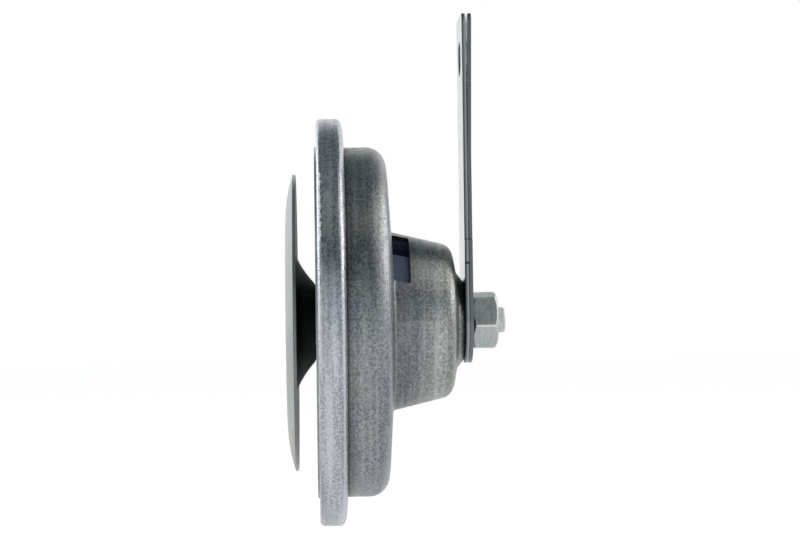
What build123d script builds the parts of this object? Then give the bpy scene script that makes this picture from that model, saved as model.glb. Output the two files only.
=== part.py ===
from build123d import *
from math import cos, radians, sin, sqrt, tan
import os

# A disc horn for a car, in millimetres.
# The horn lies along Y: its front faces -Y, and its bracket stands up along +Z.
# A station is a distance along Y, counted rearwards from the front of the clamp ring.
# An angle is counted about the horn's axis, from +X towards +Z.

# ---------------------------------------------------------------- driving dimensions

# Fits, each the gap between two faces on one side.
turned_fit = 0.05          # a turned piece in its bore
rivet_fit = 0.1            # a rivet or stem in a punched hole
moulded_fit = 0.15         # a moulded piece in the pressed shell
travel_gap = 0.6           # beside and behind anything that the armature moves

# Clamp ring, rolled over the rim stack.
ring_sheet = 1.2
ring_front_round = 1.25
ring_curl_length = 1.6     # how far ahead of its rear face the ring starts to curl in
ring_curl_depth = 3.8      # how far inwards the rear curl runs before it is flat
ring_lip_width = 4.05      # front lip over the stack
ring_curl_gap = 1.0        # rear curl to drum

# Rim stack, from front to rear: gasket, diaphragm, spacer, gasket, housing flange.
flange_width = 5.85
gasket_width = 4.85
gasket_thickness = 0.9
spacer_thickness = 1.1

# Diaphragm, one pressed sheet.
diaphragm_sheet = 0.4
diaphragm_rise = 0.48      # land in front of the clamp ring
diaphragm_step_width = 1.2
diaphragm_step_gap = 0.5   # step to the clamp ring's lip

# Housing, one drawn shell.
housing_sheet = 1.0
drum_radius = 43.5
drum_corner_station = 16.9
shoulder_round = 5.0
rear_wall_rise = 1.5       # the drum's rear wall is a very flat cone
bell_foot_radius = 22.3
bell_foot_round = 0.9
bell_length = 14.8
bell_tail_radius = 18.8
bell_tail_round = 3.8
bell_face_rise = 1.3
boss_foot_radius = 12.1
boss_foot_round = 0.8
boss_height = 1.8
seat_radius = 9.8
seat_round = 1.2

# Tone disc, one pressed sheet.
disc_sheet = 0.8
disc_radius = 37.0
disc_crown_radius = 25.2   # where the disc stands furthest forward
disc_height = 6.45         # crown above the foot
disc_brow_round = 38.0     # front face, from the crown out to the rim
disc_throat_round = 22.9   # front face, from the crown in to the cone
disc_throat_turn = 42.0    # degrees that the throat turns before the cone
disc_foot_round = 1.2

# Armature and what is riveted to it.
armature_radius = 6.2
stem_radius = 3.0
armature_washer_radius = 8.5
armature_washer_thickness = 1.2
hub_washer_radius = 7.0
hub_washer_thickness = 1.0
rivet_head_radius = 4.6
rivet_head_height = 1.6
rivet_head_round = 1.1
push_collar_radius = 9.6
push_collar_length = 3.0
push_gap = 0.3             # push collar to contact spring, at rest

# Magnet.
air_gap = 0.9              # armature to pole core, at rest
core_radius = 6.5
core_foot_radius = 8.6
core_foot_length = 2.5
pole_station = 28.0
yoke_thickness = 2.0
yoke_wire_hole_radius = 1.2
bobbin_front_station = 26.0
bobbin_length = 6.5
bobbin_wall = 0.8
bobbin_flange_radius = 14.6
winding_radius = 13.8

# Bracket: two flat leaves.
leaf_sheet = 1.0
leaf_width = 20.0
leaf_corner_round = 2.0
leaf_head_radius = 10.6
leaf_neck_height = 20.0    # where the wider head runs out into the strip
hole_height = 65.5         # bracket hole above the horn's axis
hole_radius = 4.25
hole_to_top = 10.5
stud_hole_radius = 4.2
nick_height = 14.0
nick_width = 0.35
nick_depth = 0.5

# M8 stud and nut.
stud_radius = 4.0
stud_point_radius = 3.18
stud_point_length = 2.2
stud_point_round = 0.8
stud_beyond_nut = 2.0
nut_across_flats = 13.0
nut_height = 6.5
nut_turn = -11.0           # degrees that the nut ended up turned
nut_chamfer_angle = 30.0
nut_face_radius = 5.85     # bearing faces, inside the chamfers
hexagon_half_angle = 30.0  # from the middle of a flat to the next corner
quarter_turn = 90.0

# Window in the bell, and the socket behind it.
window_angle = 49.5
window_width = 17.5
window_length = 4.3
window_overhang = 0.08     # how far the window starts ahead of the bell's foot
window_corner = 0.5
socket_angle = 62.0
socket_width = 8.2
socket_length = 4.2
socket_wall = 1.0
socket_floor_radius = 8.6
carrier_block_half_width = 10.4
carrier_inner_radius = 20.0
carrier_rim_width = 3.5    # flange outside its rivets
carrier_flange_thickness = 1.8

# Blade terminal, 6.3 x 0.8.
blade_width = 6.3
blade_thickness = 0.8
blade_tip_radius = 16.5
blade_chamfer = 0.7
blade_tail_width = 4.0
blade_tail_beyond_carrier = 2.0

# Contact breaker, on the side of the horn at 180 degrees.
arm_sheet = 1.0
spring_sheet = 0.4
spring_station = 11.0
contact_radius = 2.1
contact_height = 1.2
contact_reach = 17.0       # contacts to the horn's axis
breaker_wall_gap = 3.0     # stack to the drum's wall
breaker_root_length = 7.9
breaker_root_width = 14.0
breaker_arm_width = 8.0
insulator_thickness = 1.0
breaker_rivet_radius = 1.25
breaker_rivet_head_radius = 2.2
breaker_rivet_head_height = 0.9
breaker_rivet_offset = 4.2
carrier_rivet_inset = 2.0  # carrier's rivets nearer the axis than the stack
carrier_rivet_angles = (140.0, 220.0)

# Adjusting screw in its bush, beside the breaker.
screw_radius = 2.5
screw_beyond_bush = 1.2
screw_slot_width = 0.8
screw_slot_depth = 1.0
bush_radius = 3.4
bush_head_radius = 4.4
bush_head_thickness = 0.8
bush_length = 4.0
bush_gap = 2.5             # bush's head to the bell's foot
arm_ear_radius = 3.6

# Suppressor resistor, beside the breaker.
resistor_radius = 1.6
resistor_length = 8.0
resistor_chamfer = 0.5
resistor_offset = 11.5
resistor_lead_radius = 0.35
resistor_lead_bend_radius = 0.5
resistor_lead_inset = 1.2
resistor_lead_reach = 1.6

# Internal leads.
lead_radius = 0.6
lead_bend_radius = 2.0
lead_gap = 0.5             # a lead beside a fixed piece
lead_ahead_of_carrier = 3.0
breaker_lead_angle = 215.0  # where the breaker's lead passes through the yoke

# ---------------------------------------------------------------- radii and places that follow

stack_radius = drum_radius + flange_width
stack_bore_radius = stack_radius - gasket_width
ring_wall_bore_radius = stack_radius + turned_fit
ring_radius = ring_wall_bore_radius + ring_sheet
ring_lip_radius = stack_radius - ring_lip_width
ring_curl_bore_radius = drum_radius + ring_curl_gap
diaphragm_step_radius = ring_lip_radius - diaphragm_step_gap
diaphragm_land_radius = diaphragm_step_radius - diaphragm_step_width

breaker_end_reach = drum_radius - housing_sheet - breaker_wall_gap
breaker_root_reach = breaker_end_reach - breaker_root_length
breaker_rivet_reach = (breaker_end_reach + breaker_root_reach) / 2
carrier_rivet_reach = breaker_root_reach - carrier_rivet_inset
carrier_outer_radius = carrier_rivet_reach + carrier_rim_width
screw_offset = breaker_root_width / 2 + travel_gap + screw_radius
bush_axis_radius = bell_foot_radius + bush_gap + bush_head_radius
screw_reach = sqrt(bush_axis_radius**2 - screw_offset**2)

terminal_lead_angle = window_angle + 90
yoke_wire_hole_reach = carrier_block_half_width + lead_gap + lead_radius

# ---------------------------------------------------------------- stations that follow

front_gasket_station = ring_sheet
diaphragm_station = front_gasket_station + gasket_thickness
spacer_station = diaphragm_station + diaphragm_sheet
rear_gasket_station = spacer_station + spacer_thickness
flange_station = rear_gasket_station + gasket_thickness
ring_curl_station = flange_station + housing_sheet
ring_rear_station = ring_curl_station + ring_sheet

bell_foot_station = drum_corner_station + rear_wall_rise
bell_tail_station = bell_foot_station + bell_length
boss_foot_station = bell_tail_station + bell_face_rise
seat_station = boss_foot_station + boss_height
seat_inner_station = seat_station - housing_sheet
nut_station = seat_station + 2 * leaf_sheet
nut_rear_station = nut_station + nut_height
stud_end_station = nut_rear_station + stud_beyond_nut

land_front_station = -diaphragm_rise
land_rear_station = land_front_station + diaphragm_sheet
disc_foot_station = land_front_station - disc_sheet
hub_washer_station = disc_foot_station - hub_washer_thickness
armature_station = land_rear_station + armature_washer_thickness
armature_rear_station = pole_station - air_gap
yoke_station = bobbin_front_station - yoke_thickness

window_station = bell_foot_station - window_overhang
socket_station = window_station + (window_length - socket_length) / 2
socket_rear_station = socket_station + socket_length
carrier_station = bell_foot_station - housing_sheet - moulded_fit - carrier_flange_thickness
blade_station = socket_station + socket_length / 2

push_station = spring_station - push_gap - push_collar_length
arm_station = spring_station - 2 * contact_height - arm_sheet
rear_insulator_station = spring_station + spring_sheet
pad_station = rear_insulator_station + insulator_thickness
front_insulator_length = 2 * contact_height

bracket_middle_station = seat_station + leaf_sheet


# ---------------------------------------------------------------- helpers

def in_frame(shape):
    """Move a shape from the horn's axis and stations into the part's frame, at the bracket hole."""
    return Pos(0, -bracket_middle_station, -hole_height) * shape


def turned(outline):
    """Turn a closed outline of (radius, station) round the horn's axis."""
    return revolve(outline, Axis.Y)


def outline_of(*points):
    """Close a polygon of (radius, station) points into a face."""
    return make_face(Polyline(*points, close=True))


def hollow_disc(bore, radius, station, length):
    """A plain ring about the horn's axis."""
    section = outline_of(
        (bore, station), (radius, station), (radius, station + length), (bore, station + length)
    )
    return turned(section)


def rod(radius, station, length, reach=0.0, height=0.0):
    """A round bar along Y, with its axis at x = reach and z = height."""
    bar = Cylinder(radius, length, align=(Align.CENTER, Align.CENTER, Align.MIN))
    return Pos(reach, station, height) * Rot(-90, 0, 0) * bar


def block(low, high):
    """A box between two corners, each given as (x, station, z)."""
    size = [b - a for a, b in zip(low, high)]
    corner = (Align.MIN, Align.MIN, Align.MIN)
    return Pos(*low) * Box(*size, align=corner)


def at_angle(shape, angle):
    """Turn a shape from the +X direction to an angle about the horn's axis."""
    return shape.rotate(Axis.Y, -angle)


def shell_outline(inset):
    """The cup of the housing, drawn in by an inset, as a half section that is open to the front."""
    corners = [
        (drum_radius, flange_station - drum_radius),
        (drum_radius, drum_corner_station),
        (bell_foot_radius, bell_foot_station),
        (bell_tail_radius, bell_tail_station),
        (boss_foot_radius, boss_foot_station),
        (seat_radius, seat_station),
    ]
    rounds = [shoulder_round, bell_foot_round, bell_tail_round, boss_foot_round, seat_round]
    mirrored = [(-radius, station) for radius, station in reversed(corners)]
    section = outline_of(*corners, *mirrored)
    for corner, radius in zip(corners[1:], rounds):
        for side in (1, -1):
            point = Vector(side * corner[0], corner[1])
            vertex = section.vertices().sort_by_distance(point)[0]
            section = fillet(vertex, radius)
    if inset > 0:
        section = offset(section, amount=-inset)
    half = Pos(0, flange_station - drum_radius / 2) * Rectangle(
        2 * drum_radius, 4 * drum_radius, align=(Align.MIN, Align.CENTER)
    )
    return section & half


def inside_shell(gap):
    """The room inside the housing, less a gap to its wall."""
    return turned(shell_outline(housing_sheet + gap))


def swept_wire(radius, bend, *points):
    """A wire of straight runs and round bends through points given as (x, station, z)."""
    path = FilletPolyline(*points, radius=bend)
    section = Plane(origin=path @ 0, z_dir=path % 0) * Circle(radius)
    return sweep(section, path=path)


# ---------------------------------------------------------------- rim

def clamp_ring():
    """Rolled ring that clamps the rim stack: a front lip, a wall and a rear curl."""
    curl_start = (ring_radius, ring_rear_station - ring_curl_length)
    curl_end = (ring_radius - ring_curl_depth, ring_rear_station)
    section = make_face([
        EllipticalCenterArc(
            (curl_end[0], curl_start[1]), ring_curl_depth, ring_curl_length,
            start_angle=0, arc_size=quarter_turn,
        ),
        Polyline(
            curl_end,
            (ring_curl_bore_radius, ring_rear_station),
            (ring_curl_bore_radius, ring_curl_station),
            (ring_wall_bore_radius, ring_curl_station),
            (ring_wall_bore_radius, ring_sheet),
            (ring_lip_radius, ring_sheet),
            (ring_lip_radius, 0),
            (ring_radius, 0),
            curl_start,
        ),
    ])
    corner = section.vertices().sort_by_distance(Vector(ring_radius, 0))[0]
    return turned(fillet(corner, ring_front_round))


def front_gasket():
    """Gasket between the clamp ring's lip and the diaphragm."""
    return hollow_disc(ring_lip_radius, stack_radius, front_gasket_station, gasket_thickness)


def rear_gasket():
    """Gasket between the spacer ring and the housing's flange."""
    return hollow_disc(stack_bore_radius, stack_radius, rear_gasket_station, gasket_thickness)


def spacer_ring():
    """Steel ring that sets the air gap."""
    return hollow_disc(stack_bore_radius, stack_radius, spacer_station, spacer_thickness)


def diaphragm():
    """Thin sheet with a clamped rim, a step and a flat land that carries the disc and the armature."""
    bore = stem_radius + rivet_fit
    sheet = outline_of(
        (bore, land_front_station),
        (diaphragm_land_radius, land_front_station),
        (diaphragm_step_radius, diaphragm_station),
        (stack_radius, diaphragm_station),
        (stack_radius, spacer_station),
        (diaphragm_step_radius - diaphragm_sheet, spacer_station),
        (diaphragm_land_radius - diaphragm_sheet, land_rear_station),
        (bore, land_rear_station),
    )
    return turned(sheet)


# ---------------------------------------------------------------- moving pieces

def tone_disc():
    """Pressed disc: a foot on the diaphragm, a cone, a throat, a crown and a brow out to the rim."""
    bore = stem_radius + rivet_fit
    crown = disc_foot_station - disc_height
    throat_centre = crown + disc_throat_round
    brow_centre = crown + disc_brow_round

    def throat_point(turn, radius):
        angle = radians(turn)
        return (disc_crown_radius - radius * sin(angle), throat_centre - radius * cos(angle))

    def brow_point(reach, radius):
        return (disc_crown_radius + reach, brow_centre - sqrt(radius**2 - reach**2))

    def cone_foot(start, station):
        return (start[0] - (station - start[1]) / tan(radians(disc_throat_turn)), station)

    rear_throat = disc_throat_round - disc_sheet
    rear_brow = disc_brow_round - disc_sheet
    brow_reach = disc_radius - disc_crown_radius
    rear_reach = brow_reach * rear_brow / disc_brow_round
    front_cone = throat_point(disc_throat_turn, disc_throat_round)
    rear_cone = throat_point(disc_throat_turn, rear_throat)
    front_foot = cone_foot(front_cone, disc_foot_station)
    rear_foot = cone_foot(rear_cone, land_front_station)
    half_turn = disc_throat_turn / 2
    front_crown = (disc_crown_radius, crown)
    rear_crown = (disc_crown_radius, crown + disc_sheet)
    front_bore = (bore, disc_foot_station)
    rear_bore = (bore, land_front_station)
    front_rim = brow_point(brow_reach, disc_brow_round)
    rear_rim = brow_point(rear_reach, rear_brow)
    section = make_face([
        Polyline(front_cone, front_foot, front_bore, rear_bore, rear_foot, rear_cone),
        ThreePointArc(rear_cone, throat_point(half_turn, rear_throat), rear_crown),
        ThreePointArc(rear_crown, brow_point(rear_reach / 2, rear_brow), rear_rim),
        Line(rear_rim, front_rim),
        ThreePointArc(front_rim, brow_point(brow_reach / 2, disc_brow_round), front_crown),
        ThreePointArc(front_crown, throat_point(half_turn, disc_throat_round), front_cone),
    ])
    for foot, radius in ((front_foot, disc_foot_round), (rear_foot, disc_foot_round + disc_sheet)):
        vertex = section.vertices().sort_by_distance(Vector(*foot))[0]
        section = fillet(vertex, radius)
    return turned(section)


def armature():
    """Turned plunger with a stem that is riveted over the hub washer."""
    plunger = hollow_disc(0, armature_radius, armature_station, armature_rear_station - armature_station)
    stem = hollow_disc(0, stem_radius, hub_washer_station, armature_station - hub_washer_station)
    head = hollow_disc(0, rivet_head_radius, hub_washer_station - rivet_head_height, rivet_head_height)
    head = fillet(head.edges().group_by(Axis.Y)[0], rivet_head_round)
    return plunger + stem + head


def armature_washer():
    """Washer between the diaphragm and the plunger's shoulder."""
    bore = stem_radius + rivet_fit
    return hollow_disc(bore, armature_washer_radius, land_rear_station, armature_washer_thickness)


def hub_washer():
    """Washer between the tone disc's foot and the riveted head."""
    bore = stem_radius + rivet_fit
    return hollow_disc(bore, hub_washer_radius, hub_washer_station, hub_washer_thickness)


def push_collar():
    """Moulded collar on the plunger that pushes the contact spring."""
    bore = armature_radius + turned_fit
    return hollow_disc(bore, push_collar_radius, push_station, push_collar_length)


# ---------------------------------------------------------------- housing and magnet

def window_cutter():
    """Punch for the window in the bell, pointing along its angle."""
    reach = bell_foot_radius - housing_sheet
    depth = 2 * housing_sheet + window_width / 2
    punch = block(
        (reach - window_width / 4, window_station, -window_width / 2),
        (reach + depth, window_station + window_length, window_width / 2),
    )
    punch = fillet(punch.edges().filter_by(Axis.X), window_corner)
    return at_angle(punch, window_angle)


def housing():
    """Drawn shell: flange, drum, bell and the raised seat for the bracket."""
    cup = turned(shell_outline(0)) - inside_shell(0)
    front = block(
        (-stack_radius, flange_station - 2 * drum_radius, -stack_radius),
        (stack_radius, flange_station, stack_radius),
    )
    flange = hollow_disc(drum_radius - housing_sheet, stack_radius, flange_station, housing_sheet)
    shell = cup - front + flange
    shell -= rod(stud_hole_radius, seat_inner_station - housing_sheet, 3 * housing_sheet)
    shell -= window_cutter()
    for reach, height, radius in wall_holes():
        shell -= rod(radius, flange_station + 2 * housing_sheet, bell_foot_station, reach, height)
    return shell


def wall_holes():
    """Holes in the drum's rear wall, each as x, z and radius."""
    holes = [(*place, breaker_rivet_radius + rivet_fit) for place in breaker_rivet_places()]
    holes += [(*place, breaker_rivet_radius + rivet_fit) for place in carrier_rivet_places()]
    holes.append((-screw_reach, -screw_offset, bush_radius + turned_fit))
    return holes


def pole_core():
    """Turned core: pole, foot against the seat, and the M8 stud behind it."""
    foot_station = seat_inner_station - core_foot_length
    pole = rod(core_radius, pole_station, foot_station - pole_station)
    foot = rod(core_foot_radius, foot_station, core_foot_length)
    point_station = stud_end_station - stud_point_length
    stud = rod(stud_radius, seat_inner_station, point_station - seat_inner_station)
    point = rod(stud_point_radius, point_station, stud_point_length)
    point = fillet(point.edges().group_by(Axis.Y)[-1], stud_point_round)
    return pole + foot + stud + point


def coil_bobbin():
    """Moulded bobbin: a tube with two flanges."""
    bore = core_radius + moulded_fit
    tube = hollow_disc(bore, bore + bobbin_wall, bobbin_front_station, bobbin_length)
    front = hollow_disc(bore, bobbin_flange_radius, bobbin_front_station, bobbin_wall)
    rear_station = bobbin_front_station + bobbin_length - bobbin_wall
    rear = hollow_disc(bore, bobbin_flange_radius, rear_station, bobbin_wall)
    for angle in (terminal_lead_angle, breaker_lead_angle):
        notch = rod(yoke_wire_hole_radius, bobbin_front_station, bobbin_wall, yoke_wire_hole_reach)
        front -= at_angle(notch, angle)
    return tube + front + rear


def coil_winding():
    """Enamelled wire, wound as one solid ring between the flanges."""
    bore = core_radius + moulded_fit + bobbin_wall
    length = bobbin_length - 2 * bobbin_wall
    return hollow_disc(bore, winding_radius, bobbin_front_station + bobbin_wall, length)


def yoke_plate():
    """Steel disc that closes the magnet's front and wedges in the bell's taper."""
    plate = hollow_disc(armature_radius + travel_gap, bell_foot_radius, yoke_station, yoke_thickness)
    plate &= inside_shell(turned_fit)
    for angle in (terminal_lead_angle, breaker_lead_angle):
        hole = rod(yoke_wire_hole_radius, yoke_station, yoke_thickness, yoke_wire_hole_reach)
        plate -= at_angle(hole, angle)
    return plate


# ---------------------------------------------------------------- carrier and terminal

def terminal_carrier():
    """Moulded carrier: a flange on the drum's rear wall, the terminal block and the breaker's pad."""
    outer = carrier_outer_radius
    flange_end = bell_foot_station + housing_sheet
    flange = hollow_disc(carrier_inner_radius, outer, carrier_station, flange_end - carrier_station)
    pad = block(
        (-breaker_end_reach, pad_station, -breaker_root_width / 2),
        (-carrier_inner_radius, flange_end, breaker_root_width / 2),
    )
    pad -= block(
        (-breaker_root_reach, pad_station, -breaker_root_width / 2),
        (-carrier_inner_radius, carrier_station, breaker_root_width / 2),
    )
    flange &= inside_shell(moulded_fit)
    pad &= inside_shell(moulded_fit)
    flange -= terminal_clearance()
    carrier = flange + pad + terminal_block()
    for reach, height in breaker_rivet_places() + carrier_rivet_places():
        carrier -= rod(breaker_rivet_radius + rivet_fit, pad_station, bell_length, reach, height)
    screw_hole = rod(bush_radius + moulded_fit, pad_station, bell_length, -screw_reach, -screw_offset)
    return carrier - screw_hole - blade_slot()


def terminal_clearance():
    """Room in the carrier's flange where the terminal block stands."""
    return at_angle(
        block(
            (0, carrier_station, -socket_width),
            (carrier_outer_radius, bell_foot_station + housing_sheet, socket_width),
        ),
        socket_angle,
    )


def terminal_block():
    """Block behind the window: closed below, with an open socket above."""
    floor = socket_floor_radius - socket_wall
    station = carrier_station
    length = yoke_station - travel_gap / 2 - station
    body = hollow_disc(floor, carrier_outer_radius, station, length)
    sector = block(
        (0, station, -carrier_block_half_width),
        (carrier_outer_radius, station + length, carrier_block_half_width),
    )
    body &= at_angle(sector, window_angle)
    body &= inside_shell(moulded_fit)
    socket = block(
        (socket_floor_radius, socket_station, -socket_width / 2),
        (2 * bell_foot_radius, socket_rear_station, socket_width / 2),
    )
    return body - at_angle(socket, socket_angle)


def blade_outline(grow):
    """Blade terminal along +X: the blade itself and the tail that runs forward under it."""
    half = blade_width / 2 + grow
    low = socket_floor_radius - grow
    blade = block(
        (low, blade_station - blade_thickness / 2 - grow, -half),
        (blade_tip_radius, blade_station + blade_thickness / 2 + grow, half),
    )
    tail_half = blade_tail_width / 2 + grow
    tail = block(
        (low, carrier_station - blade_tail_beyond_carrier, -tail_half),
        (socket_floor_radius + blade_thickness + grow, blade_station + blade_thickness / 2 + grow, tail_half),
    )
    return blade, tail


def blade_slot():
    """Slot that the blade's tail passes through, from the socket to the carrier's front."""
    blade, tail = blade_outline(turned_fit)
    return at_angle(tail, socket_angle)


def blade_terminal():
    """Brass blade 6.3 x 0.8 with a tail that the coil's lead is soldered to."""
    blade, tail = blade_outline(0)
    tip = blade.edges().filter_by(Axis.Y).group_by(Axis.X)[-1]
    return at_angle(chamfer(tip, blade_chamfer) + tail, socket_angle)


# ---------------------------------------------------------------- contact breaker

def breaker_rivet_places():
    """Places of the two rivets through the breaker, as (x, z)."""
    return [(-breaker_rivet_reach, side * breaker_rivet_offset) for side in (-1, 1)]


def carrier_rivet_places():
    """Places of the two rivets that hold only the carrier, as (x, z)."""
    return [
        (carrier_rivet_reach * cos(radians(angle)), carrier_rivet_reach * sin(radians(angle)))
        for angle in carrier_rivet_angles
    ]


def rear_wall_station(reach):
    """Station of the drum's rear wall, outside, at a radius."""
    slope = rear_wall_rise / (drum_radius - bell_foot_radius)
    return bell_foot_station - (reach - bell_foot_radius) * slope


def breaker_holes(strip):
    """Punch a strip or insulator for the breaker's rivets."""
    for reach, height in breaker_rivet_places():
        strip -= rod(breaker_rivet_radius + rivet_fit, 0, bell_tail_station, reach, height)
    return strip


def breaker_root(station, thickness):
    """The clamped end that every piece of the breaker's stack shares."""
    half = breaker_root_width / 2
    return block((-breaker_end_reach, station, -half), (-breaker_root_reach, station + thickness, half))


def contact_spring():
    """Leaf spring from the stack to the push collar, notched round the plunger."""
    half = breaker_arm_width / 2
    leaf = block(
        (-breaker_root_reach, spring_station, -half),
        (0, spring_station + spring_sheet, half),
    )
    leaf -= rod(armature_radius + 2 * travel_gap, spring_station, spring_sheet)
    return breaker_holes(breaker_root(spring_station, spring_sheet) + leaf)


def fixed_contact_arm():
    """Earthed arm with the fixed contact and an ear that the adjusting screw bears on."""
    half = breaker_arm_width / 2
    end = contact_reach - contact_radius - travel_gap
    arm = block((-breaker_root_reach, arm_station, -half), (-end, arm_station + arm_sheet, half))
    ear = rod(arm_ear_radius, arm_station, arm_sheet, -screw_reach, -screw_offset)
    ear += block(
        (-screw_reach - arm_ear_radius, arm_station, -screw_offset),
        (-screw_reach + arm_ear_radius, arm_station + arm_sheet, -half),
    )
    return breaker_holes(breaker_root(arm_station, arm_sheet) + arm + ear)


def moving_contact():
    """Tungsten button on the front of the contact spring."""
    return rod(contact_radius, spring_station - contact_height, contact_height, -contact_reach)


def fixed_contact():
    """Tungsten button on the rear of the fixed arm."""
    return rod(contact_radius, arm_station + arm_sheet, contact_height, -contact_reach)


def front_insulator():
    """Laminate between the fixed arm and the contact spring."""
    return breaker_holes(breaker_root(arm_station + arm_sheet, front_insulator_length))


def rear_insulator():
    """Laminate between the contact spring and the carrier's pad."""
    return breaker_holes(breaker_root(rear_insulator_station, insulator_thickness))


def rivet(station, reach, height):
    """A rivet from a front station through the drum's rear wall, with a head at each end."""
    rear = rear_wall_station((reach**2 + height**2) ** 0.5 - breaker_rivet_head_radius)
    shank = rod(breaker_rivet_radius, station, rear - station, reach, height)
    front = rod(
        breaker_rivet_head_radius,
        station - breaker_rivet_head_height,
        breaker_rivet_head_height,
        reach,
        height,
    )
    tail = rod(breaker_rivet_head_radius, rear, breaker_rivet_head_height, reach, height)
    tail = chamfer(tail.edges().group_by(Axis.Y)[-1], breaker_rivet_head_height / 2)
    return front + shank + tail


def breaker_rivets():
    """Two rivets through the whole breaker and the drum's rear wall."""
    return [rivet(arm_station, reach, height) for reach, height in breaker_rivet_places()]


def carrier_rivets():
    """Two rivets that hold the carrier to the drum's rear wall."""
    return [rivet(carrier_station, reach, height) for reach, height in carrier_rivet_places()]


# ---------------------------------------------------------------- adjusting screw and suppressor

def bush_head_station():
    """Station of the bush's flat seat on the rear wall."""
    return rear_wall_station((screw_reach**2 + screw_offset**2) ** 0.5 - bush_head_radius)


def adjuster_bush():
    """Threaded bush pressed into the drum's rear wall."""
    seat = bush_head_station()
    head = rod(bush_head_radius, seat, bush_head_thickness, -screw_reach, -screw_offset)
    body = rod(bush_radius, seat - bush_length, bush_length, -screw_reach, -screw_offset)
    bore = rod(
        screw_radius + turned_fit, seat - bush_length, 2 * bush_length, -screw_reach, -screw_offset
    )
    return head + body - bore


def adjusting_screw():
    """Slotted screw through the bush, with its tip against the fixed arm's ear."""
    tip = arm_station + arm_sheet
    end = bush_head_station() + bush_head_thickness + screw_beyond_bush
    screw = rod(screw_radius, tip, end - tip, -screw_reach, -screw_offset)
    slot = block(
        (-screw_reach - screw_radius, end - screw_slot_depth, -screw_offset - screw_slot_width / 2),
        (-screw_reach + screw_radius, end, -screw_offset + screw_slot_width / 2),
    )
    return screw - slot


def suppressor_resistor():
    """Resistor across the breaker, with one lead to the contact spring and one to the fixed arm."""
    outer_lead = -breaker_end_reach + resistor_lead_inset
    middle = outer_lead + resistor_lead_reach + resistor_length / 2
    station = (arm_station + rear_insulator_station) / 2
    body = Cylinder(resistor_radius, resistor_length)
    body = chamfer(body.edges().filter_by(GeomType.CIRCLE), resistor_chamfer)
    resistor = Pos(middle, station, resistor_offset) * Rot(0, 90, 0) * body
    spring_end = (spring_station + spring_sheet / 2, breaker_root_width / 2)
    arm_end = (arm_station + arm_sheet / 2, breaker_arm_width / 2)
    for side, (foot_station, foot_edge) in ((-1, spring_end), (1, arm_end)):
        start = middle + side * resistor_length / 2
        bend = start + side * resistor_lead_reach
        resistor += swept_wire(
            resistor_lead_radius,
            resistor_lead_bend_radius,
            (start, station, resistor_offset),
            (bend, station, resistor_offset),
            (bend, foot_station, resistor_offset - resistor_radius),
            (bend, foot_station, foot_edge),
        )
    return resistor


# ---------------------------------------------------------------- internal leads

def about_axis(radius, angle, station):
    """A point given by its radius and angle about the horn's axis, and its station."""
    return (radius * cos(radians(angle)), station, radius * sin(radians(angle)))


def terminal_lead():
    """Lead from the blade's tail, round the plunger and through the yoke to the coil."""
    on_tail = socket_floor_radius + blade_thickness + turned_fit + lead_radius
    turn_station = carrier_station - lead_ahead_of_carrier
    return swept_wire(
        lead_radius,
        lead_bend_radius,
        about_axis(on_tail, socket_angle, carrier_station - turned_fit),
        about_axis(on_tail, socket_angle, turn_station),
        about_axis(yoke_wire_hole_reach, terminal_lead_angle, turn_station),
        about_axis(yoke_wire_hole_reach, terminal_lead_angle, bobbin_front_station + bobbin_wall),
    )


def breaker_lead():
    """Lead from the coil, through the yoke, to the rear of the contact spring."""
    on_spring = rear_insulator_station + lead_radius
    return swept_wire(
        lead_radius,
        lead_bend_radius,
        about_axis(yoke_wire_hole_reach, breaker_lead_angle, bobbin_front_station + bobbin_wall),
        about_axis(yoke_wire_hole_reach, breaker_lead_angle, on_spring),
        (-breaker_root_reach + 2 * lead_radius, on_spring, 0),
    )


# ---------------------------------------------------------------- bracket and nut

def bracket_leaf(station):
    """Flat strip with a round head about the stud and a square top about the bracket hole."""
    top = hole_height + hole_to_top
    strip = Pos(0, top / 2) * Rectangle(leaf_width, top)
    strip = fillet(strip.vertices().group_by(Axis.Y)[-1], leaf_corner_round)
    head = Circle(leaf_head_radius) + Pos(0, leaf_neck_height / 2) * Rectangle(
        2 * leaf_head_radius, leaf_neck_height
    )
    outline = strip + head - Circle(stud_hole_radius) - Pos(0, hole_height) * Circle(hole_radius)
    leaf = extrude(outline, leaf_sheet)
    return Pos(0, station, 0) * Rot(90, 0, 0) * Pos(0, 0, -leaf_sheet) * leaf


def front_bracket_leaf():
    """Leaf against the housing, with a small nick in one edge."""
    nick = block(
        (leaf_head_radius - nick_depth, seat_station, nick_height),
        (leaf_head_radius + nick_depth, seat_station + leaf_sheet, nick_height + nick_width),
    )
    return bracket_leaf(seat_station) - nick


def rear_bracket_leaf():
    """Leaf under the nut."""
    return bracket_leaf(seat_station + leaf_sheet)


def mount_nut():
    """M8 hexagon nut, chamfered at both faces."""
    corner_radius = nut_across_flats / 2 / cos(radians(hexagon_half_angle))
    hexagon = extrude(RegularPolygon(corner_radius, 6), nut_height)
    hexagon = Pos(0, nut_station, 0) * Rot(-90, 0, 0) * hexagon
    rise = (corner_radius - nut_face_radius) * tan(radians(nut_chamfer_angle))
    blank = turned(outline_of(
        (stud_radius + turned_fit, nut_station),
        (nut_face_radius, nut_station),
        (corner_radius, nut_station + rise),
        (corner_radius, nut_rear_station - rise),
        (nut_face_radius, nut_rear_station),
        (stud_radius + turned_fit, nut_rear_station),
    ))
    return at_angle(hexagon & blank, nut_turn)


# ---------------------------------------------------------------- write the parts

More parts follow.
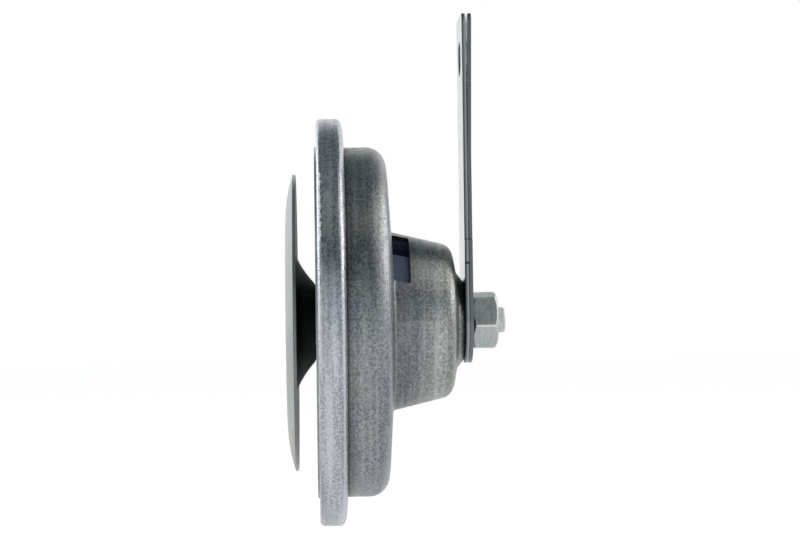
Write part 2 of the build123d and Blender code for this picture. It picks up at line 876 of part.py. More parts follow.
PARTS = (
    housing, clamp_ring, front_gasket, rear_gasket, spacer_ring, diaphragm,
    tone_disc, armature, armature_washer, hub_washer, push_collar,
    pole_core, coil_bobbin, coil_winding, yoke_plate,
    terminal_carrier, blade_terminal,
    contact_spring, moving_contact, fixed_contact_arm, fixed_contact,
    front_insulator, rear_insulator, breaker_rivets, carrier_rivets,
    adjusting_screw, adjuster_bush, suppressor_resistor, terminal_lead, breaker_lead,
    front_bracket_leaf, rear_bracket_leaf, mount_nut,
)

os.makedirs("parts", exist_ok=True)
for make_part in PARTS:
    made = make_part()
    solids = made if isinstance(made, list) else [made]
    placed = [in_frame(solid) for solid in solids]
    export_step(placed[0] if len(placed) == 1 else Compound(placed), f"parts/{make_part.__name__}.step")
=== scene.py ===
# %% [markdown]
# # A car's disc horn, dressed for a studio picture
#
# A horn of this kind is nearly all sheet steel: a drawn housing, a rolled clamp ring, a thin
# tone disc in front and a strip bracket behind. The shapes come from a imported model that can't
# be changed here, so this script has three jobs. It gives every piece the finish that its real
# material has, it adds the small forms that a CAD model leaves out, and it sets up the studio.
#
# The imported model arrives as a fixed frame: one mesh for each piece, in metres, with Y along
# the horn's axis (the front faces -Y) and Z up along the bracket.

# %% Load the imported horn
from math import pi, radians

import bmesh
import bpy
from mathutils import Matrix, Vector


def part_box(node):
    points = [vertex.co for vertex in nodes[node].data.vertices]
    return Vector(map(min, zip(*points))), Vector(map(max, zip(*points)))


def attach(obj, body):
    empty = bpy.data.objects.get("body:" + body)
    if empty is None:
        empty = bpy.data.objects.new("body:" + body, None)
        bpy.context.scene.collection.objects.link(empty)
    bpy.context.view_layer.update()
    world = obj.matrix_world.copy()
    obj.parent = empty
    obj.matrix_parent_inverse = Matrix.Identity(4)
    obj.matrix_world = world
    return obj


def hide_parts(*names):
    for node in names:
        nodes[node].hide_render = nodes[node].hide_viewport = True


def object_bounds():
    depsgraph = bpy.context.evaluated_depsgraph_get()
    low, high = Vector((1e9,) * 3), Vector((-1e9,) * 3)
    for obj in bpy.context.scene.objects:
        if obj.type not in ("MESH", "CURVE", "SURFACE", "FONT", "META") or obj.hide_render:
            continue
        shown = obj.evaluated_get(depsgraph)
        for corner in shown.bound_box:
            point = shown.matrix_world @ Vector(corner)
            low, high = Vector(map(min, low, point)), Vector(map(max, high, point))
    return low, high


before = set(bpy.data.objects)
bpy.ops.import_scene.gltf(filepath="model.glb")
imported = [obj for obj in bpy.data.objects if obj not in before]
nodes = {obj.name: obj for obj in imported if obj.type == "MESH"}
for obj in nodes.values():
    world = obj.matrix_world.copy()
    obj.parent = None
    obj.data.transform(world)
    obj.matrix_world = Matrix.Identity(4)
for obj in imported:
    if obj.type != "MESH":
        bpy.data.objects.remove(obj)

MM = 0.001
cad_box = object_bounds()
print(len(nodes), "pieces, box in mm:", [[round(v / MM, 2) for v in corner] for corner in cad_box])

# %% [markdown]
# Three places are read off the model, so that the dressing still fits if the horn is packed again
# with another size. One is the rear face of the clamp ring, where a narrow groove runs round the
# housing. The others are the end of the housing's bell and the top of the bracket's rear leaf.

# %% Measure the frame
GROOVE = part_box("clamp_ring")[1].y
BELL_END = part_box("housing")[1].y
LEAF_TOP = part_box("rear_bracket_leaf")[1].z
print(f"groove at y {GROOVE / MM:.2f} mm, end of the bell at y {BELL_END / MM:.2f} mm,",
      f"top of the rear leaf at z {LEAF_TOP / MM:.2f} mm")

# %% [markdown]
# ## Colours and nodes
#
# A colour that a person picks on a screen is an sRGB value, and a render works with amounts of
# light, so one function turns the first into the second. A material is a small graph of nodes,
# and each node takes the same steps: create it, set it, link it. One function does them all. It
# links a pin when it is given another node's output, and sets it when it is given a value. A pin
# is found by its identifier first, because a Mix node has several pins with the same name.

# %% Add a node
def linear(hex_colour):
    """An sRGB hex colour as linear red, green, blue and alpha."""
    channels = [int(hex_colour[i:i + 2], 16) / 255 for i in (1, 3, 5)]
    return [c / 12.92 if c <= 0.04045 else ((c + 0.055) / 1.055) ** 2.4 for c in channels] + [1.0]


def find(pins, name):
    """The pin with this identifier or, failing that, this name."""
    return next((pin for pin in pins if pin.identifier == name), None) or pins.get(name)


def add_node(tree, kind, given=(), out=None):
    """Add a node, set or link what is given by name, and return one of its outputs."""
    node = tree.nodes.new(kind)
    for name, value in dict(given).items():
        pin = find(node.inputs, name)
        if isinstance(value, bpy.types.NodeSocket):
            tree.links.new(value, pin)
        elif pin is None:
            setattr(node, name, value)
        else:
            pin.default_value = linear(value) if isinstance(value, str) else value
    if out:
        return find(node.outputs, out)
    return next((pin for pin in node.outputs if pin.enabled), None)


print("linear middle grey:", [round(c, 3) for c in linear("#808080")])

# %% [markdown]
# ## Steps that every finish shares
#
# A finish here is built in layers: a base colour, then other colours laid over it where a
# pattern is strong, then a roughness and a fine bump. The layers could be copied into each
# material by hand, but then a mend would have to be made twenty times. So opening a graph,
# laying a colour over another and closing the graph are three functions, and each material
# below puts together the patterns that its surface really has.
#
# A layer starts at one level of its pattern and is full at another. Noise is mostly near 0.5, so
# levels such as 0.4 and 0.6 use most of its range. Patterns are placed by the point on the object
# itself, so they stay on the metal when a piece moves. Their sizes are in millimetres.

# %% Open, layer and close a graph
def per_mm(size):
    """The scale that gives a texture one feature in this many millimetres."""
    return 1 / (size * MM)


def begin_material(name):
    """A new material with an empty graph, and its point on the object."""
    material = bpy.data.materials.new(name)
    material.use_nodes = True
    tree = material.node_tree
    tree.nodes.clear()
    return material, tree, add_node(tree, "ShaderNodeTexCoord", out="Object")


def lay_over(tree, under, over, pattern, none_at, full_at, depth=1.0, blend_type="MIX"):
    """Lay a colour over another: not at all at one level of a pattern, full at another."""
    share = add_node(tree, "ShaderNodeMapRange", {
        "Value": pattern, "From Min": none_at, "From Max": full_at, "To Max": depth,
    })
    return add_node(tree, "ShaderNodeMix", {
        "data_type": "RGBA", "blend_type": blend_type, "Factor_Float": share,
        "A_Color": under, "B_Color": over,
    })


def finish_material(material, tree, colour, gloss, rough, height, height_mm, settings):
    """Close a graph: a roughness range over a pattern, a bump of a real height, the shader."""
    pattern, low, high = gloss
    roughness = add_node(tree, "ShaderNodeMapRange", {
        "Value": pattern, "From Min": low, "From Max": high,
        "To Min": rough[0], "To Max": rough[1],
    })
    normal = add_node(tree, "ShaderNodeBump", {
        "Strength": 1.0, "Distance": height_mm * MM, "Height": height,
    })
    shader = add_node(tree, "ShaderNodeBsdfPrincipled", {
        "Base Color": colour, "Roughness": roughness, "Normal": normal, **settings,
    })
    add_node(tree, "ShaderNodeOutputMaterial", {"Surface": shader})
    return material


print("a 0.5 mm grain has the scale", round(per_mm(0.5)))

# %% [markdown]
# ## Zinc plated steel
#
# The housing, the ring, the disc, the bracket and the nut are mild steel, electroplated with
# zinc and passivated. Zinc grows in small crystals that lie at different angles, so the surface
# is a satin metal with a fine light and dark grain. Real crystals are too fine for a picture of
# the whole horn, so they are drawn about half a millimetre across. Under them are cloudy
# patches that lean towards blue or towards yellow, where the passivation is thicker. Pressing
# draws faint lines round the axis, and handling leaves a few dark pits. It is a bare metal, so
# metallic is 1 and the index of refraction stays as it is.
#
# The grain could be a bump alone, but then it would vanish where the light is even. Most of it
# is colour here, with three octaves of nearly equal weight, and a little of it is a bump that
# breaks up the edge of a highlight.
#
# Some finishes also change along the axis, in bands. Behind the ring the housing gets a dark line
# that is partly road dirt in the groove and partly painted shade, with a wider band of painted
# shade beside it where the ring shades the drum. The bell is painted darker at its foot, as shade
# from the drum, painted lighter towards its end, as a painted highlight, and painted darker again
# on its end rounding. Its bands multiply and divide the colour below, so that the crystals still
# show through them. A sheared edge has a bright band, where the punch burnished it, and a dull
# one, where the steel broke.

# %% Zinc recipe
OCTAVE_SPREAD = 1.2  # the first octave is this much coarser than the grain that it makes
LINE_MM = 36.0       # the length of a draw line, before lines_along divides it to a width
PIT_MM = 9.0         # the distance between pits
PIT_TONE = "#33373B"


def zinc_plated(name, cool, warm, bright, grain_mm=0.55, cloud_mm=9.0, rough=(0.30, 0.44),
                grain_depth=0.9, line_depth=0.35, height_mm=0.03, lines_along=(1.0, 30.0, 1.0),
                bands=()):
    """Zinc plate on pressed sheet, with crystals, clouds, draw lines, pits and bands."""
    material, tree, place = begin_material(name)
    clouds = add_node(tree, "ShaderNodeTexNoise", {
        "Vector": place, "Scale": per_mm(cloud_mm), "Detail": 3.0,
    })
    crystals = add_node(tree, "ShaderNodeTexNoise", {
        "Vector": place, "Scale": per_mm(grain_mm * OCTAVE_SPREAD), "Detail": 3.0,
        "Roughness": 0.95,
    })
    patches = add_node(tree, "ShaderNodeTexNoise", {
        "Vector": place, "Scale": per_mm(cloud_mm / 4), "Detail": 2.0,
    })
    drawn_out = add_node(tree, "ShaderNodeMapping", {"Vector": place, "Scale": lines_along})
    lines = add_node(tree, "ShaderNodeTexNoise", {
        "Vector": drawn_out, "Scale": per_mm(LINE_MM), "Detail": 3.0, "Roughness": 0.6,
    })
    pits = add_node(tree, "ShaderNodeTexVoronoi", {"Vector": place, "Scale": per_mm(PIT_MM)})
    colour = lay_over(tree, cool, warm, clouds, 0.38, 0.62)
    colour = lay_over(tree, colour, bright, crystals, 0.41, 0.63, grain_depth)
    colour = lay_over(tree, colour, bright, lines, 0.50, 0.62, line_depth)
    colour = lay_over(tree, colour, cool, lines, 0.46, 0.34, line_depth)
    colour = lay_over(tree, colour, PIT_TONE, pits, 0.035, 0.015, 0.8)
    along = add_node(tree, "ShaderNodeSeparateXYZ", {"Vector": place}, out="Y")
    for none_at, full_at, depth, tone, blend_type in bands:
        colour = lay_over(tree, colour, tone, along, none_at, full_at, depth, blend_type)
    dulled = add_node(tree, "ShaderNodeMath", {
        "operation": "MULTIPLY", "Value": crystals, "Value_001": patches,
    })
    return finish_material(
        material, tree, colour, (dulled, 0.16, 0.36), rough, crystals, height_mm, {"Metallic": 1.0}
    )


print("draw lines", LINE_MM, "mm long, pits", PIT_MM, "mm apart")

# %% [markdown]
# The same recipe could be six materials made by hand, but their layers are alike, so only the
# numbers differ. The ring is rolled, which burnishes it, so it is the
# smoothest and palest of the large pieces. The housing is drawn deep, which roughens it, and is
# darker. The disc is spun and has a finer, more even grain. The strip of the bracket is cold
# rolled, with lines along its length, and shines most, while its sheared edges are dull between
# their bright bands. The nut is forged and barrel plated, so its grain is coarse and chalky.

# %% Zinc finishes
# This tone is partly road dirt and partly painted shade, for the line and the wider shade behind
# the ring.
DIRT_AND_SHADE_TONE = "#1E1C1A"
# The next two tones paint the bell: painted shade at its foot and end, and a painted highlight
# between.
SHADED = "#DADADA"
PAINTED_BELL_HIGHLIGHT = "#C4C2BD"
BURNISHED = "#D2D6D8"
BROKEN = "#5F666D"
# A dark line of dirt and painted shade behind the ring, and a wider band of painted shade where
# the ring shades the drum.
GROOVE_DIRT_AND_SHADE, PAINTED_GROOVE_SHADE = GROOVE + 0.7 * MM, GROOVE + 3.0 * MM
# Painted shade at the bell's foot, a painted highlight along the bell, painted shade again on its
# end.
FOOT_FROM, FOOT_TO = BELL_END - 18.2 * MM, BELL_END - 17.4 * MM
BELL_HIGHLIGHT_FROM, BELL_HIGHLIGHT_TO = BELL_END - 15.5 * MM, BELL_END - 6.5 * MM
NOSE_FROM, NOSE_TO = BELL_END - 6.0 * MM, BELL_END - 4.2 * MM
BURNISHED_FROM, BURNISHED_TO = -0.70 * MM, -0.08 * MM  # the two leaves meet at y 0
BROKEN_FROM, BROKEN_TO = 0.02 * MM, 0.12 * MM

RING_ZINC = zinc_plated(
    "zinc_plated_rolled_ring", "#8E95A3", "#9B9EA6", "#E7E8F1", rough=(0.24, 0.38),
    line_depth=0.5, height_mm=0.008,
)
HOUSING_ZINC = zinc_plated(
    "zinc_plated_drawn_housing", "#6B717A", "#7E807E", "#BEC2C8", height_mm=0.015,
    bands=(
        # dirt and painted shade in the groove, then painted shade from the ring
        (GROOVE_DIRT_AND_SHADE, GROOVE, 0.85, DIRT_AND_SHADE_TONE, "MIX"),
        (PAINTED_GROOVE_SHADE, GROOVE, 0.45, DIRT_AND_SHADE_TONE, "MIX"),
        # painted shade at the bell's foot, a painted highlight along it, painted shade on its end
        (FOOT_FROM, FOOT_TO, 1.0, SHADED, "MULTIPLY"),
        (BELL_HIGHLIGHT_FROM, BELL_HIGHLIGHT_TO, 1.0, PAINTED_BELL_HIGHLIGHT, "DODGE"),
        (NOSE_FROM, NOSE_TO, 1.0, SHADED, "MULTIPLY"),
    ),
)
DISC_ZINC = zinc_plated(
    "zinc_plated_spun_disc", "#A2A8AC", "#A9ABA6", "#C8CBCB", grain_mm=0.34, rough=(0.30, 0.42),
    grain_depth=0.4, height_mm=0.015,
)
BRACKET_ZINC = zinc_plated(
    "zinc_plated_strip", "#9AA0A6", "#A4A7A6", "#C2C6C8", grain_mm=0.30, cloud_mm=16.0,
    rough=(0.12, 0.20), grain_depth=0.3, height_mm=0.002, lines_along=(1.0, 1.0, 0.05),
)
SHEARED_ZINC = zinc_plated(
    "zinc_plated_sheared_edge", "#5A6168", "#666A6C", "#8E959B", grain_mm=0.26, cloud_mm=5.0,
    rough=(0.24, 0.36), grain_depth=0.25, height_mm=0.003, lines_along=(1.0, 40.0, 0.05),
    bands=(
        (BURNISHED_FROM, BURNISHED_TO, 0.8, BURNISHED, "MIX"),
        (BROKEN_FROM, BROKEN_TO, 0.8, BROKEN, "MIX"),
    ),
)
NUT_ZINC = zinc_plated(
    "zinc_plated_forged_nut", "#AEBAC0", "#C0C0C4", "#E6E8EA", grain_mm=0.45, cloud_mm=4.0,
    rough=(0.40, 0.55), grain_depth=0.6,
)
print("zinc finishes:", sorted(m.name for m in bpy.data.materials if "zinc" in m.name))

# %% [markdown]
# ## Worked metal
#
# The turned parts show the marks of the tool, which are rings round their own axis. All of them
# share the horn's axis or one parallel to it, so rings of about a tenth of a millimetre along Y
# read as turning. The stud has no bright plate left on its cut end, only the pale, chalky bloom
# of weathered zinc, so it is only partly metallic. Wrenches have polished the corners of the nut
# to a brighter metal than its flats. Washers and rivets are pressed and then plated, which leaves
# a soft, even shine. The magnet's yoke and the contact arm are plain low-carbon steel, darker and
# a little oily. The diaphragm and the contact spring are rolled spring steel with lines that run
# one way. The contacts are tungsten, ground flat and grey, and the blade is stamped brass.

# %% Turned, rolled and ground metal
TONE_MM = 3.0          # the size of a soft change of tone
FINE_GRAIN_MM = 0.25
MARK_HEIGHT_MM = 0.004
MARK_TONE = "#E2E3E2"


def worked_metal(name, dark, light, lines_along, line_mm, rough, metallic=1.0):
    """A metal with tool marks: fine lines in one direction over a soft change of tone."""
    material, tree, place = begin_material(name)
    drawn_out = add_node(tree, "ShaderNodeMapping", {"Vector": place, "Scale": lines_along})
    marks = add_node(tree, "ShaderNodeTexNoise", {
        "Vector": drawn_out, "Scale": per_mm(line_mm), "Detail": 4.0, "Roughness": 0.6,
    })
    tone = add_node(tree, "ShaderNodeTexNoise", {
        "Vector": place, "Scale": per_mm(TONE_MM), "Detail": 2.0,
    })
    grain = add_node(tree, "ShaderNodeTexNoise", {
        "Vector": place, "Scale": per_mm(FINE_GRAIN_MM), "Detail": 2.0,
    })
    colour = lay_over(tree, dark, light, tone, 0.35, 0.65)
    colour = lay_over(tree, colour, MARK_TONE, marks, 0.42, 0.68, 0.45, "MULTIPLY")
    colour = lay_over(tree, colour, light, grain, 0.5, 0.75, 0.3)
    return finish_material(
        material, tree, colour, (marks, 0.3, 0.7), rough, marks, MARK_HEIGHT_MM,
        {"Metallic": metallic},
    )


TURNED_STEEL = worked_metal(
    "zinc_plated_turned_steel", "#B4B9BB", "#D5D8D6", (0.03, 1.0, 0.03), 0.12, (0.20, 0.36)
)
STUD_STEEL = worked_metal(
    "dull_plated_stud_steel", "#F6F5F3", "#FCFBFA", (0.2, 1.0, 0.2), 0.4, (0.36, 0.50),
    metallic=0.2,
)
WORN_ZINC = worked_metal(
    "wrench_polished_zinc", "#DEDFDC", "#F2F2EE", (1.0, 0.2, 1.0), 0.3, (0.16, 0.26)
)
PLATED_HARDWARE = worked_metal(
    "zinc_plated_pressed_hardware", "#B0B4B4", "#C9CCC8", (1.0, 1.0, 1.0), 0.8, (0.26, 0.40)
)
SPRING_STEEL = worked_metal(
    "rolled_spring_steel", "#8E9296", "#A6A9AC", (1.0, 1.0, 0.04), 0.15, (0.22, 0.34)
)
MAGNET_STEEL = worked_metal(
    "plain_low_carbon_steel", "#77787A", "#8D8E8E", (0.05, 1.0, 1.0), 0.2, (0.30, 0.48)
)
TUNGSTEN = worked_metal(
    "ground_tungsten", "#86888A", "#A3A4A6", (1.0, 1.0, 0.1), 0.08, (0.25, 0.40)
)
BRASS = worked_metal(
    "stamped_brass", "#C9A45A", "#DDBB74", (0.06, 1.0, 0.06), 0.12, (0.20, 0.34)
)
print("worked metals so far:", len(bpy.data.materials), "materials")

# %% [markdown]
# ## Winding
#
# The coil is wound from enamelled copper wire of about half a millimetre, in turns side by side
# round the axis. The model has one smooth ring for it. The turns could be modelled as a spring,
# but they are hidden and only a bump a wire wide is needed, so a wave runs along Y. The same wave
# also paints shade, a dark brown, into the grooves between the turns. The enamel is a clear
# varnish with a warm tone, which the coat stands for.

# %% Enamelled copper wire
WIRE_MM = 0.5
DRIFT_MM = 1.6
WAVE_TURN = 2 * pi / 20  # a Wave texture of scale 1 repeats after this distance
material, tree, place = begin_material("enamelled_copper_wire")
turns = add_node(tree, "ShaderNodeTexWave", {
    "Vector": place, "bands_direction": "Y", "Scale": per_mm(WIRE_MM) * WAVE_TURN,
    "Distortion": 0.4, "Detail": 1.0, "Detail Scale": 2.0,
}, out="Fac")
drift = add_node(tree, "ShaderNodeTexNoise", {
    "Vector": place, "Scale": per_mm(DRIFT_MM), "Detail": 2.0,
})
colour = lay_over(tree, "#9A4A22", "#C06A38", drift, 0.35, 0.65)
# The dark brown laid where the wave is low is painted shade in the grooves between the turns.
colour = lay_over(tree, colour, "#3A1A0C", turns, 0.5, 0.0, 0.75)
COPPER_WIRE = finish_material(
    material, tree, colour, (drift, 0.3, 0.7), (0.22, 0.34), turns, WIRE_MM / 4,
    {"Metallic": 1.0, "Coat Weight": 0.6, "Coat Roughness": 0.12},
)
print(COPPER_WIRE.name, "has a turn every", WIRE_MM, "mm")

# %% [markdown]
# ## Plastics, paper and the rest
#
# What isn't metal shares a second recipe: a colour that drifts a little, specks, a soft bump and
# an uneven gloss. The carrier is dark blue nylon filled with short glass fibre, so it is matte
# with faint pale streaks. The bobbin and the push collar are natural nylon, which looks milky and
# slightly waxy. The gaskets are pressed fibre paper, dull and a little fuzzy. The insulators are
# a brown laminate of paper and resin, whose surface is smooth and shows the fibres below. The
# resistor has a cement coat, as rough as fine plaster, and the leads have black PVC sleeves with
# a soft sheen.

# %% Plastic, paper and cement
def dull_body(name, low, high, speck, speck_mm, speck_share, rough, height_mm, drift_mm=4.0,
              fibres=(1.0, 1.0, 1.0), ior=1.5):
    """A non-metal whose colour drifts between two tones, with specks of a third one."""
    material, tree, place = begin_material(name)
    drift = add_node(tree, "ShaderNodeTexNoise", {
        "Vector": place, "Scale": per_mm(drift_mm), "Detail": 3.0,
    })
    drawn_out = add_node(tree, "ShaderNodeMapping", {"Vector": place, "Scale": fibres})
    specks = add_node(tree, "ShaderNodeTexNoise", {
        "Vector": drawn_out, "Scale": per_mm(speck_mm), "Detail": 3.0, "Roughness": 0.65,
    })
    colour = lay_over(tree, low, high, drift, 0.35, 0.65)
    colour = lay_over(tree, colour, speck, specks, 0.56, 0.70, speck_share)
    return finish_material(
        material, tree, colour, (specks, 0.3, 0.7), rough, specks, height_mm, {"IOR": ior}
    )


CARRIER_NYLON = dull_body(
    "glass_filled_nylon", "#464E6E", "#535B7C", "#7A809C", 0.35, 0.35, (0.38, 0.52), 0.012,
    fibres=(1.0, 0.3, 1.0), ior=1.53,
)
NATURAL_NYLON = dull_body(
    "natural_nylon", "#D9D2BE", "#E4DFCE", "#C9C0A8", 0.5, 0.3, (0.34, 0.46), 0.008, ior=1.53
)
FIBRE_PAPER = dull_body(
    "pressed_fibre_paper", "#6B5639", "#7E6746", "#A38C66", 0.18, 0.6, (0.80, 0.95), 0.03,
    drift_mm=2.0, fibres=(1.0, 4.0, 0.4),
)
LAMINATE = dull_body(
    "paper_resin_laminate", "#6E421F", "#845228", "#A77444", 0.25, 0.4, (0.28, 0.42), 0.005,
    fibres=(0.3, 4.0, 1.0), ior=1.55,
)
CEMENT = dull_body(
    "cement_coating", "#B4A68C", "#C4B79E", "#8E8168", 0.22, 0.5, (0.75, 0.90), 0.04, drift_mm=1.5
)
PVC_SLEEVE = dull_body(
    "black_pvc_sleeve", "#17181A", "#222326", "#34363A", 0.3, 0.3, (0.38, 0.52), 0.006, ior=1.53
)
print("all finishes:", len(bpy.data.materials), "materials")

# %% [markdown]
# ## Dressing
#
# A node of the frame can't be changed, but its material slots can. One table says which pieces
# get which finish, and the print shows that nothing is left plain.

# %% Dress the frame's own pieces
DRESSING = {
    RING_ZINC: ["clamp_ring"],
    HOUSING_ZINC: ["housing"],
    DISC_ZINC: ["tone_disc"],
    BRACKET_ZINC: ["front_bracket_leaf", "rear_bracket_leaf"],
    NUT_ZINC: ["mount_nut"],
    STUD_STEEL: ["pole_core"],
    TURNED_STEEL: ["armature", "adjusting_screw"],
    PLATED_HARDWARE: ["armature_washer", "hub_washer", "spacer_ring", "breaker_rivets",
                      "carrier_rivets", "adjuster_bush"],
    SPRING_STEEL: ["diaphragm", "contact_spring"],
    MAGNET_STEEL: ["yoke_plate", "fixed_contact_arm"],
    TUNGSTEN: ["moving_contact", "fixed_contact"],
    BRASS: ["blade_terminal"],
    COPPER_WIRE: ["coil_winding"],
    CARRIER_NYLON: ["terminal_carrier"],
    NATURAL_NYLON: ["coil_bobbin", "push_collar"],
    FIBRE_PAPER: ["front_gasket", "rear_gasket"],
    LAMINATE: ["front_insulator", "rear_insulator"],
    CEMENT: ["suppressor_resistor"],
    PVC_SLEEVE: ["terminal_lead", "breaker_lead"],
}
for finish, names in DRESSING.items():
    for name in names:
        for slot in nodes[name].material_slots:
            slot.material = finish
plain = [name for name, node in nodes.items()
         if not any(slot.material in DRESSING for slot in node.material_slots)]
print("finishes on nodes:", len(DRESSING), "- nodes left plain:", plain)

# %% [markdown]
# ## Soft edges
#
# The two leaves of the bracket are sheared from strip, which rounds one edge and leaves the other
# dull, and the zinc then softens both. The model has them dead sharp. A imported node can't have a
# bevel of its own, so each leaf is copied, its loose triangles are joined, its flat areas become
# single faces, and a bevel rounds the edges of the copy. The copy then stands in for the node.
# The bevel only takes material away, so the leaf stays inside the model's box.
#
# Shading a round edge smooth would also bend the light on the flat face beside it. A Weighted
# Normal modifier lets the large face decide, so that flat metal stays flat.

# %% Soften a copy of a node
SHARP_ANGLE = radians(20)
SHADED_ANGLE = radians(32)
FLAT_ANGLE = radians(0.5)
MERGE_MM = 0.001


def joined_copy(name):
    """A bmesh of a node with its triangles joined, and its flat areas as single faces."""
    shape = bmesh.new()
    shape.from_mesh(nodes[name].data)
    bmesh.ops.remove_doubles(shape, verts=shape.verts, dist=MERGE_MM * MM)
    bmesh.ops.dissolve_limit(
        shape, angle_limit=FLAT_ANGLE, use_dissolve_boundaries=False, verts=shape.verts,
        edges=shape.edges,
    )
    return shape


def soften(shape, chosen, width_mm, segments):
    """Bevel the sharp edges that a rule picks, and return the new faces."""
    edges = [edge for edge in shape.edges if edge.is_manifold
             and edge.calc_face_angle() > SHARP_ANGLE and chosen(edge)]
    return bmesh.ops.bevel(
        shape, geom=edges, offset=width_mm * MM, offset_type="OFFSET", affect="EDGES",
        segments=segments, profile=0.5, material=-1, clamp_overlap=False,
    )["faces"]


def stand_in(shape, node, piece_name, finishes):
    """Make a piece from a bmesh, and let it stand for a node of the frame."""
    mesh = bpy.data.meshes.new(piece_name)
    shape.to_mesh(mesh)
    shape.free()
    mesh.shade_smooth()
    mesh.set_sharp_from_angle(angle=SHADED_ANGLE)
    for finish in finishes:
        mesh.materials.append(finish)
    piece = bpy.data.objects.new(piece_name, mesh)
    bpy.context.scene.collection.objects.link(piece)
    flatten = piece.modifiers.new("flat_faces_stay_flat", "WEIGHTED_NORMAL")
    flatten.keep_sharp = True
    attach(piece, "horn_body")
    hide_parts(node)
    print(piece.name, "stands in for", node, "with", len(mesh.polygons), "faces")


# %% [markdown]
# The leaves are clamped only by the nut, so they stand slightly apart at the top. The rear one
# could be turned as a whole, but the real one is straight at the nut and springs back above it.
# So a cut is made across the leaf, and the part above it is sheared back, which moves each point
# in step with its height and keeps the leaf as thick as it was.

# %% Bracket leaves
EDGE_ROUND_MM = 0.24
EDGE_STEPS = 3
FAN_MM = 0.5
FAN_START = -25.0 * MM
FLAT_ENOUGH = 0.9


def fan_out(shape, start, top, gap):
    """Lean a leaf back from a height up, so that it leaves the other one by a gap at its top."""
    bmesh.ops.bisect_plane(
        shape, geom=shape.verts[:] + shape.edges[:] + shape.faces[:],
        plane_co=(0, 0, start), plane_no=(0, 0, 1),
    )
    slope = gap / (top - start)
    lean = Matrix.Identity(4)
    lean[1][2], lean[1][3] = slope, -slope * start
    bmesh.ops.transform(shape, matrix=lean, verts=[v for v in shape.verts if v.co.z > start])


for side in ("front", "rear"):
    leaf = joined_copy(f"{side}_bracket_leaf")
    if side == "rear":
        fan_out(leaf, FAN_START, LEAF_TOP, FAN_MM * MM)
    soften(leaf, lambda edge: True, EDGE_ROUND_MM, EDGE_STEPS)
    for face in leaf.faces:
        face.material_index = 0 if abs(face.normal.y) >= FLAT_ENOUGH else 1
    stand_in(
        leaf, f"{side}_bracket_leaf", f"{side}_strip_leaf",
        [BRACKET_ZINC, SHEARED_ZINC],
    )

# %% [markdown]
# The nut is cold forged, so the six corners between its flats are well rounded. A corner is an
# edge that runs along Y, which tells it from the rims of the chamfers. Its new faces get the
# finish that the wrench has polished.

# %% Forged corners on the nut
CORNER_ROUND_MM = 0.55
CORNER_STEPS = 4


def along_axis(edge):
    """True for an edge that runs along Y."""
    run = edge.verts[1].co - edge.verts[0].co
    return abs(run.y) > FLAT_ENOUGH * run.length


nut = joined_copy("mount_nut")
for face in soften(nut, along_axis, CORNER_ROUND_MM, CORNER_STEPS):
    face.material_index = 1
stand_in(nut, "mount_nut", "forged_nut", [NUT_ZINC, WORN_ZINC])

# %% [markdown]
# ## Studio
#
# The horn hangs just above a sheet of white paper. A camera shows paper as pure white only when
# it is lit very brightly, and that would wash out the metal. So the paper has two parts. One is
# real white paper, which takes the horn's shadow and throws light back at it. The other is a
# glow. The camera sees mostly glow, with a small share of paper so that the shadow stays, and
# reflections see about half as much of it. It could light the horn as well, but diffuse rays are
# kept from seeing it, so plastic and paper keep the colours that they were given.

# %% Floor
FLOOR_GAP = 14 * MM
FLOOR_SIDE = 6.0
SHADOW_SHARE = 0.16
MIRROR_SHARE = 0.5
GLOW = 1.12
PAPER = "#F4F4F2"

sheet = bmesh.new()
bmesh.ops.create_grid(
    sheet, x_segments=1, y_segments=1, size=FLOOR_SIDE / 2,
    matrix=Matrix.Translation((0, 0, cad_box[0].z - FLOOR_GAP)),
)
floor_mesh = bpy.data.meshes.new("floor")
sheet.to_mesh(floor_mesh)
sheet.free()
floor = bpy.data.objects.new("floor", floor_mesh)
bpy.context.scene.collection.objects.link(floor)

paper_floor = bpy.data.materials.new("white_paper_floor")
paper_floor.use_nodes = True
tree = paper_floor.node_tree
tree.nodes.clear()
mirrored = add_node(tree, "ShaderNodeMapRange", {
    "Value": add_node(tree, "ShaderNodeLightPath", out="Is Glossy Ray"), "To Max": MIRROR_SHARE,
})
direct = add_node(tree, "ShaderNodeMath", {
    "operation": "MAXIMUM",
    "Value": add_node(tree, "ShaderNodeLightPath", out="Is Camera Ray"),
    "Value_001": add_node(tree, "ShaderNodeLightPath", out="Is Transmission Ray"),
})
seen = add_node(tree, "ShaderNodeMath", {
    "operation": "MAXIMUM", "Value": direct, "Value_001": mirrored,
})
share = add_node(tree, "ShaderNodeMapRange", {"Value": seen, "To Max": 1 - SHADOW_SHARE})
both = add_node(tree, "ShaderNodeMixShader", {
    "Fac": share,
    "Shader": add_node(tree, "ShaderNodeBsdfDiffuse", {"Color": PAPER}),
    "Shader_001": add_node(tree, "ShaderNodeEmission", {"Strength": GLOW}),
})
add_node(tree, "ShaderNodeOutputMaterial", {"Surface": both})
floor_mesh.materials.append(paper_floor)
print("floor", FLOOR_SIDE, "m wide,", round(FLOOR_GAP / MM), "mm below the horn")

# %% [markdown]
# Bare metal shows what surrounds it, so the room matters more than the lamps. A room that is
# white all over would make the ring and the housing flat and pale. This one is white at the
# sides, as a light tent is, and dim overhead and a little dim behind the camera. Upright metal
# then mirrors the white, and metal that leans up mirrors the dim part, which gives the horn its
# dark upper half and light lower half. The dim part is slightly green, as unlit walls often
# are. The camera itself sees plain white.

# %% Room
DIM_FROM, DIM_TO, DIM_LEVEL = 0.36, 0.66, 0.24
BEHIND_FROM, BEHIND_TO, BEHIND_LEVEL = -0.1, 0.7, 0.6
TILT = 0.1
DIM_TONE, WHITE = "#BFD8D6", "#FFFFFF"

